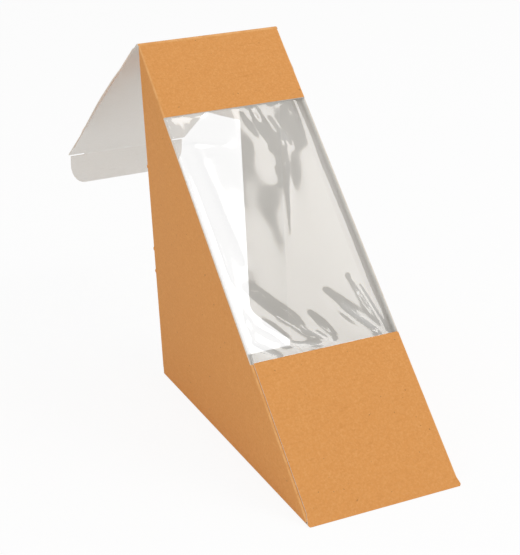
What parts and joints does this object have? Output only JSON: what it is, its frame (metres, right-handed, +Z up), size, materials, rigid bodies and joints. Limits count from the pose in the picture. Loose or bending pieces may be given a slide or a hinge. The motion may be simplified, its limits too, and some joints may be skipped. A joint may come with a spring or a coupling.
{
  "type": "sandwich wedge pack",
  "caption": "Triangular kraft paperboard sandwich carton with a clear window in its slope, open at the back between two dust flaps, under a hinged lid with a tuck flap and side flaps.",
  "frame": {"origin": "middle of the base, on its underside", "axes": "+Z up, +X across the carton from side wall to side wall, +Y towards the open back; the window slopes down towards -Y"},
  "size_m": [0.0718, 0.231, 0.1231],
  "materials": {
    "kraft_board": "matt kraft paperboard, brown outside and greyish white inside",
    "window_film": "clear glossy film, slightly wrinkled"
  },
  "bodies": {
    "carton_body": {"carton": "kraft_board", "window_film": "window_film"},
    "lid_body": {"lid": "kraft_board"},
    "tuck_body": {"tuck_flap": "kraft_board"},
    "left_flap_body": {"left_side_flap": "kraft_board"},
    "right_flap_body": {"right_side_flap": "kraft_board"},
    "left_dust_body": {"left_dust_flap": "kraft_board"},
    "right_dust_body": {"right_dust_flap": "kraft_board"}
  },
  "joints": [
    {"name": "lid_hinge", "type": "hinge", "parent": "carton_body", "child": "lid_body", "pos_m": [0, 0.0616, 0.1228], "axis": [1, 0, 0], "range_deg": [-58.5, 45]},
    {"name": "tuck_fold", "type": "hinge", "parent": "lid_body", "child": "tuck_body", "pos_m": [0, 0.1654, 0.05966], "axis": [1, 0, 0], "range_deg": [-58.5, 45]},
    {"name": "left_flap_fold", "type": "hinge", "parent": "lid_body", "child": "left_flap_body", "pos_m": [-0.0265, 0.10103, 0.09911], "axis": [0, -0.8526, 0.5225], "range_deg": [-27, 35.1]},
    {"name": "right_flap_fold", "type": "hinge", "parent": "lid_body", "child": "right_flap_body", "pos_m": [0.0265, 0.10103, 0.09911], "axis": [0, -0.8526, 0.5225], "range_deg": [-35.1, 27]},
    {"name": "left_dust_fold", "type": "hinge", "parent": "carton_body", "child": "left_dust_body", "pos_m": [-0.0258, 0.0613, 0.0605], "axis": [0, 0, 1], "range_deg": [-46.8, 36]},
    {"name": "right_dust_fold", "type": "hinge", "parent": "carton_body", "child": "right_dust_body", "pos_m": [0.0258, 0.0613, 0.0605], "axis": [0, 0, 1], "range_deg": [-36, 46.8]}
  ],
  "couplings": [
    {"joint": "tuck_fold", "follows": "lid_hinge", "ratio": 1},
    {"joint": "left_flap_fold", "follows": "lid_hinge", "ratio": -0.6},
    {"joint": "right_flap_fold", "follows": "lid_hinge", "ratio": 0.6},
    {"joint": "left_dust_fold", "follows": "lid_hinge", "ratio": 0.8},
    {"joint": "right_dust_fold", "follows": "lid_hinge", "ratio": -0.8}
  ]
}
